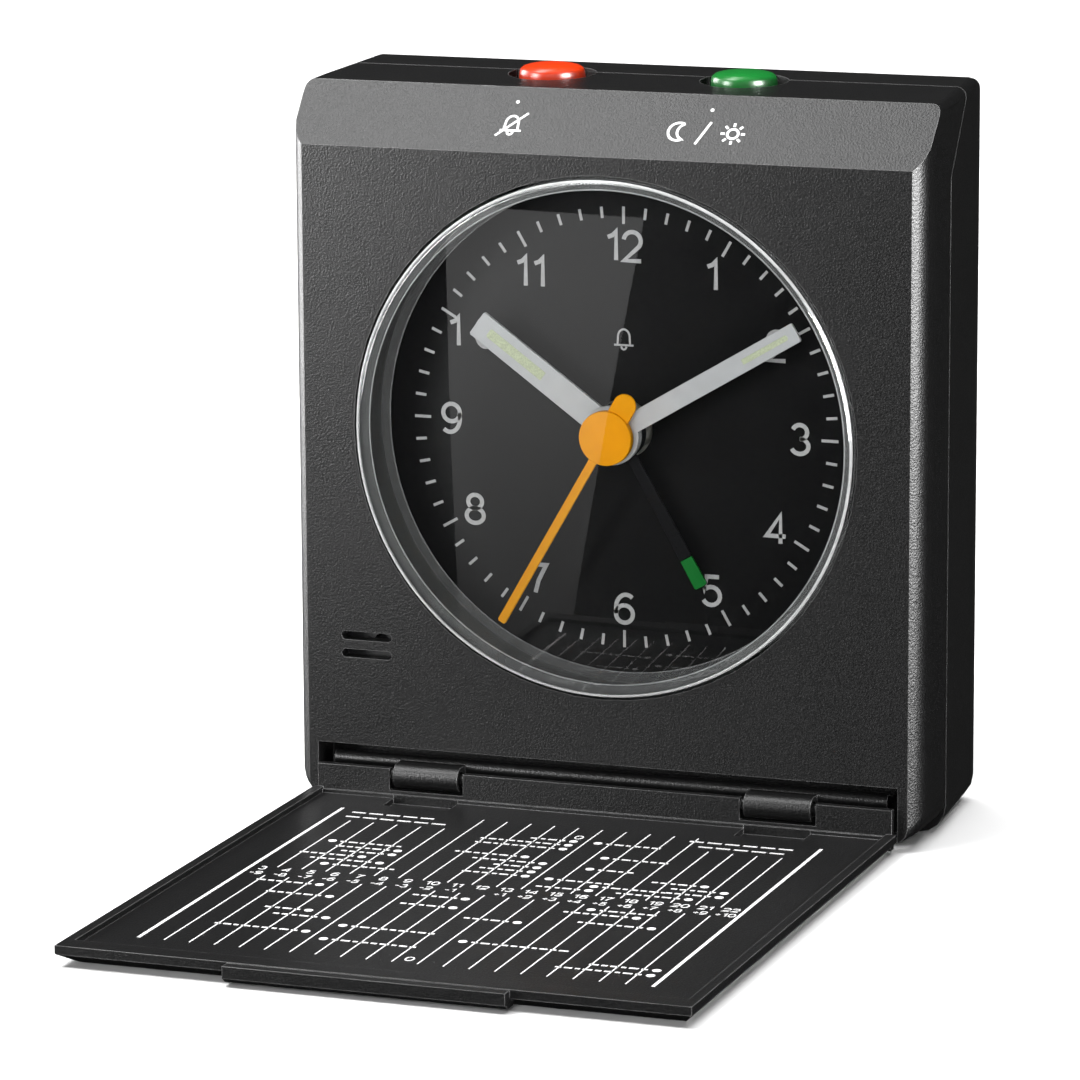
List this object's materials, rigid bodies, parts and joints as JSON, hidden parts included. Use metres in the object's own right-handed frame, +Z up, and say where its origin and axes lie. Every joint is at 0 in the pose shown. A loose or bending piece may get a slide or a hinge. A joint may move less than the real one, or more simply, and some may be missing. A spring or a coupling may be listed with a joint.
{
  "type": "travel alarm clock",
  "caption": "Square black quartz travel alarm clock with a round analogue dial, sloping top strip, two round push buttons and a hinged front cover that folds down flat.",
  "frame": {"origin": "middle of the footprint of the clock with its cover folded down, on the surface it stands on", "axes": "+Z up, -Y the way the dial faces, +X to the right as the dial is read"},
  "size_m": [0.0686, 0.0936, 0.0778],
  "materials": {
    "case_black": "fine spark-eroded grain, satin black",
    "knob_black": "satin black with a knurled rim",
    "lens_clear": "clear polished acrylic",
    "dial_black": "matt black printed in off-white",
    "dial_light": "translucent",
    "hand_black": "satin black paint",
    "hand_green": "green paint",
    "hand_silver": "fine satin silver grey paint",
    "lume": "pale luminous filling",
    "hand_yellow": "yellow paint",
    "button_red": "glossy, slightly translucent",
    "button_green": "glossy, slightly translucent",
    "nylon": "natural moulded nylon",
    "brass": "machined",
    "steel": "bright plated",
    "copper_wire": "enamelled copper winding",
    "circuit_green": "green solder mask",
    "switch_black": "moulded black",
    "cell_sleeve": "printed sleeve on a steel can, plain"
  },
  "bodies": {
    "case": {"front_housing": "case_black", "rear_housing": "case_black", "hinge_bar": "case_black", "lens": "lens_clear", "dial_plate": "dial_black", "dial_light": "dial_light", "movement_front_case": "nylon", "movement_back_plate": "nylon", "stator": "steel", "coil": "copper_wire", "circuit_board": "circuit_green", "quartz_crystal": "steel", "switch_board": "circuit_green", "off_switch": "switch_black", "snooze_switch": "switch_black", "buzzer": "switch_black", "battery_cell": "cell_sleeve", "contact_plate": "steel", "contact_spring": "steel", "case_screw_top_left": "steel", "case_screw_top_right": "steel", "case_screw_low_left": "steel", "case_screw_low_right": "steel"},
    "cover": {"front_cover": "case_black"},
    "second": {"second_hand": "hand_yellow", "second_wheel": "nylon"},
    "minute": {"minute_hand": "hand_silver", "minute_hand_lume": "lume", "minute_wheel": "brass"},
    "hour": {"hour_hand": "hand_silver", "hour_hand_lume": "lume", "hour_wheel": "nylon"},
    "alarm": {"alarm_hand": "hand_black", "alarm_hand_tip": "hand_green", "alarm_wheel": "nylon"},
    "third_wheel": {"third_wheel": "nylon"},
    "motion_wheel": {"motion_wheel": "nylon"},
    "step_wheel": {"step_wheel": "nylon"},
    "rotor": {"rotor": "steel"},
    "time_knob": {"time_knob": "knob_black"},
    "alarm_knob": {"alarm_knob": "knob_black"},
    "off_button": {"off_button": "button_red"},
    "snooze_button": {"snooze_button": "button_green"},
    "battery_door": {"battery_door": "case_black"}
  },
  "joints": [
    {"name": "cover_hinge", "type": "hinge", "parent": "case", "child": "cover", "pos_m": [0, 0.02075, 0.0039], "axis": [-1, 0, 0], "range_deg": [0, 90]},
    {"name": "second_spin", "type": "hinge", "parent": "case", "child": "second", "pos_m": [0, 0.03285, 0.041], "axis": [0, 1, 0], "continuous": true},
    {"name": "minute_spin", "type": "hinge", "parent": "case", "child": "minute", "pos_m": [0, 0.03285, 0.041], "axis": [0, 1, 0], "continuous": true},
    {"name": "hour_spin", "type": "hinge", "parent": "case", "child": "hour", "pos_m": [0, 0.03285, 0.041], "axis": [0, 1, 0], "continuous": true},
    {"name": "third_wheel_spin", "type": "hinge", "parent": "case", "child": "third_wheel", "pos_m": [-0.00495, 0.03285, 0.04957], "axis": [0, 1, 0], "continuous": true},
    {"name": "motion_wheel_spin", "type": "hinge", "parent": "case", "child": "motion_wheel", "pos_m": [0.0115, 0.03285, 0.041], "axis": [0, 1, 0], "continuous": true},
    {"name": "step_wheel_spin", "type": "hinge", "parent": "case", "child": "step_wheel", "pos_m": [-0.0015, 0.03285, 0.03243], "axis": [0, 1, 0], "continuous": true},
    {"name": "rotor_spin", "type": "hinge", "parent": "case", "child": "rotor", "pos_m": [-0.0015, 0.03285, 0.025], "axis": [0, 1, 0], "continuous": true},
    {"name": "time_knob_spin", "type": "hinge", "parent": "case", "child": "time_knob", "pos_m": [0.013, 0.04085, 0.0312], "axis": [0, 1, 0], "continuous": true},
    {"name": "alarm_spin", "type": "hinge", "parent": "case", "child": "alarm", "pos_m": [0, 0.03285, 0.041], "axis": [0, 1, 0], "continuous": true},
    {"name": "alarm_knob_spin", "type": "hinge", "parent": "case", "child": "alarm_knob", "pos_m": [-0.013, 0.04085, 0.0312], "axis": [0, 1, 0], "continuous": true},
    {"name": "off_press", "type": "slide", "parent": "case", "child": "off_button", "axis": [0, 0, -1], "range_m": [0, 0.001], "stiffness_N_per_m": 400, "springref_m": -0.0005},
    {"name": "snooze_press", "type": "slide", "parent": "case", "child": "snooze_button", "axis": [0, 0, -1], "range_m": [0, 0.001], "stiffness_N_per_m": 400, "springref_m": -0.0005},
    {"name": "battery_door_slide", "type": "slide", "parent": "case", "child": "battery_door", "axis": [0, 0, -1], "range_m": [0, 0.0028]}
  ],
  "couplings": [
    {"joint": "minute_spin", "follows": "second_spin", "ratio": 0.016667},
    {"joint": "hour_spin", "follows": "second_spin", "ratio": 0.0013889},
    {"joint": "third_wheel_spin", "follows": "second_spin", "ratio": -0.13333},
    {"joint": "motion_wheel_spin", "follows": "second_spin", "ratio": -0.0055556},
    {"joint": "step_wheel_spin", "follows": "second_spin", "ratio": -5},
    {"joint": "rotor_spin", "follows": "second_spin", "ratio": 30},
    {"joint": "time_knob_spin", "follows": "second_spin", "ratio": 0.016667},
    {"joint": "alarm_knob_spin", "follows": "alarm_spin", "ratio": -4.3333}
  ]
}
